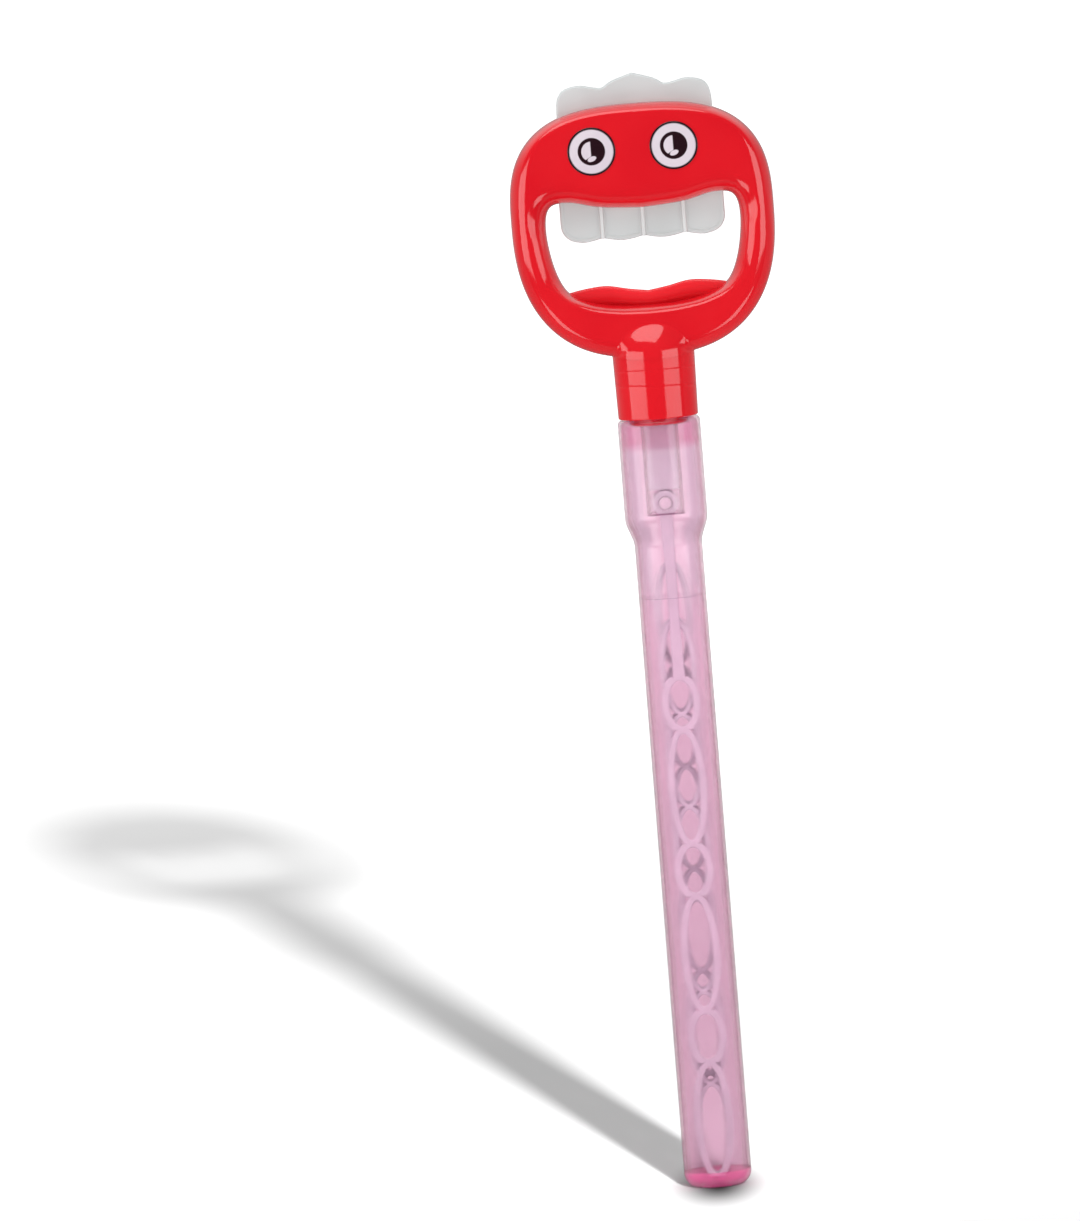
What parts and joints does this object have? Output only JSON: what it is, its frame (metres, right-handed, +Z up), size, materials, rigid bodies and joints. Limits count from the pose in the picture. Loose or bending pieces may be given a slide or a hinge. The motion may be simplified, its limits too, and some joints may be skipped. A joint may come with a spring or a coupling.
{
  "type": "bubble wand",
  "caption": "Toy bubble wand: a ring handle with a toothy face and a screw cap, and strands of dipping rings folded in a clear tube of solution.",
  "frame": {"origin": "middle of the tube's flat base, where the closed wand stands", "axes": "+Z up along the tube to the handle, -Y the front of the face, +X to the right of the face as it is looked at"},
  "size_m": [0.0902, 0.0284, 0.3844],
  "materials": {
    "tinted_tube": "translucent pink, glossy",
    "solution": "clear liquid, mostly water",
    "seal_foam": "pressed foam",
    "red_plastic": "glossy red",
    "milky_plastic": "milky, semi-gloss",
    "clear_plastic": "clear, glossy",
    "strand_plastic": "slightly translucent white, satin",
    "white_plastic": "light grey-white, satin",
    "printed_eye": "printed disc, glossy"
  },
  "bodies": {
    "bottle": {"tube": "tinted_tube", "bubble_solution": "solution"},
    "seal": {"seal_washer": "seal_foam"},
    "wand": {"screw_cap": "red_plastic", "stem_plug": "red_plastic", "stem_core": "milky_plastic", "stem_sleeve": "clear_plastic", "pivot_pin": "milky_plastic", "handle_front": "red_plastic", "handle_back": "red_plastic", "teeth_plate": "white_plastic", "lip_plate": "red_plastic", "eye_left": "printed_eye", "eye_right": "printed_eye"},
    "strand_1": {"strand_1": "strand_plastic"},
    "strand_2": {"strand_2": "strand_plastic"},
    "strand_3": {"strand_3": "strand_plastic"},
    "strand_4": {"strand_4": "strand_plastic"},
    "strand_5": {"strand_5": "strand_plastic"}
  },
  "joints": [
    {"name": "wand_draw", "type": "slide", "parent": "bottle", "child": "seal", "axis": [0, 0, 1], "range_m": [0, 0.285], "deforming": ["strand_1", "strand_2", "strand_3", "strand_4", "strand_5"]},
    {"name": "cap_turn", "type": "hinge", "parent": "seal", "child": "wand", "pos_m": [0, 0, 0.288], "axis": [0, 0, 1], "range_deg": [0, 540]},
    {"name": "strand_1_spread", "type": "hinge", "parent": "wand", "child": "strand_1", "pos_m": [0, 0, 0.2365], "axis": [0, 1, 0], "range_deg": [0, 29]},
    {"name": "strand_2_spread", "type": "hinge", "parent": "wand", "child": "strand_2", "pos_m": [0, 0, 0.2365], "axis": [0, 1, 0], "range_deg": [0, 11]},
    {"name": "strand_3_spread", "type": "hinge", "parent": "wand", "child": "strand_3", "pos_m": [0, 0, 0.2365], "axis": [0, 1, 0], "range_deg": [-2, 0]},
    {"name": "strand_4_spread", "type": "hinge", "parent": "wand", "child": "strand_4", "pos_m": [0, 0, 0.2365], "axis": [0, 1, 0], "range_deg": [-14, 0]},
    {"name": "strand_5_spread", "type": "hinge", "parent": "wand", "child": "strand_5", "pos_m": [0, 0, 0.2365], "axis": [0, 1, 0], "range_deg": [-32, 0]}
  ],
  "couplings": [
    {"joint": "strand_1_spread", "follows": "wand_draw", "rad_per_m": 1.775},
    {"joint": "strand_2_spread", "follows": "wand_draw", "rad_per_m": 0.673},
    {"joint": "strand_3_spread", "follows": "wand_draw", "rad_per_m": -0.122},
    {"joint": "strand_4_spread", "follows": "wand_draw", "rad_per_m": -0.857},
    {"joint": "strand_5_spread", "follows": "wand_draw", "rad_per_m": -1.959}
  ]
}
